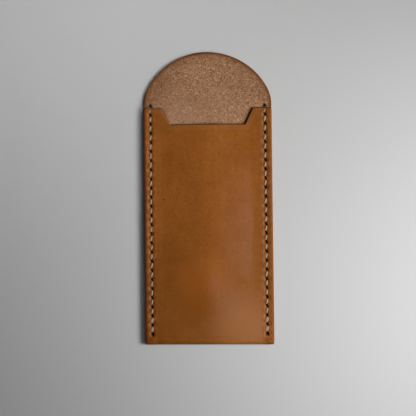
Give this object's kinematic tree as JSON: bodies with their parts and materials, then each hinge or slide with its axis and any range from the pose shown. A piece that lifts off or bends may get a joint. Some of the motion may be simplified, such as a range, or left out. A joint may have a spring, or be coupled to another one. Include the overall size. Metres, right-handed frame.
{
  "type": "pen case",
  "caption": "Flat leather pen sleeve: a folded, saddle-stitched pocket with a trapezoid thumb notch and a round tongue that bends forward over its mouth.",
  "frame": {"origin": "middle of the case's length and width, on the grain face that it lies on", "axes": "+X across the width, +Y from the bottom fold to the tongue's tip, +Z from the back panel to the front panel"},
  "size_m": [0.07, 0.16, 0.009],
  "materials": {
    "grain_leather": "smooth vegetable-tanned grain, waxed",
    "flesh_leather": "rough flesh side, matt",
    "waxed_thread": "twisted waxed linen, cream"
  },
  "bodies": {
    "pocket": {"front_panel": "grain_leather", "back_panel": "grain_leather", "bottom_fold": "grain_leather", "left_seam_thread": "waxed_thread", "right_seam_thread": "waxed_thread"},
    "spine": {"flap_spine": "flesh_leather"},
    "tongue": {"flap": "flesh_leather"}
  },
  "joints": [
    {"name": "tongue_lift", "type": "hinge", "parent": "pocket", "child": "spine", "pos_m": [0, 0.05479, 0.00275], "axis": [1, 0, 0], "range_deg": [0, 90], "stiffness_Nm_per_rad": 0.05},
    {"name": "tongue_fold", "type": "hinge", "parent": "spine", "child": "tongue", "pos_m": [0, 0.06119, 0.00275], "axis": [1, 0, 0], "range_deg": [0, 90]}
  ],
  "couplings": [
    {"joint": "tongue_fold", "follows": "tongue_lift", "ratio": 1}
  ]
}
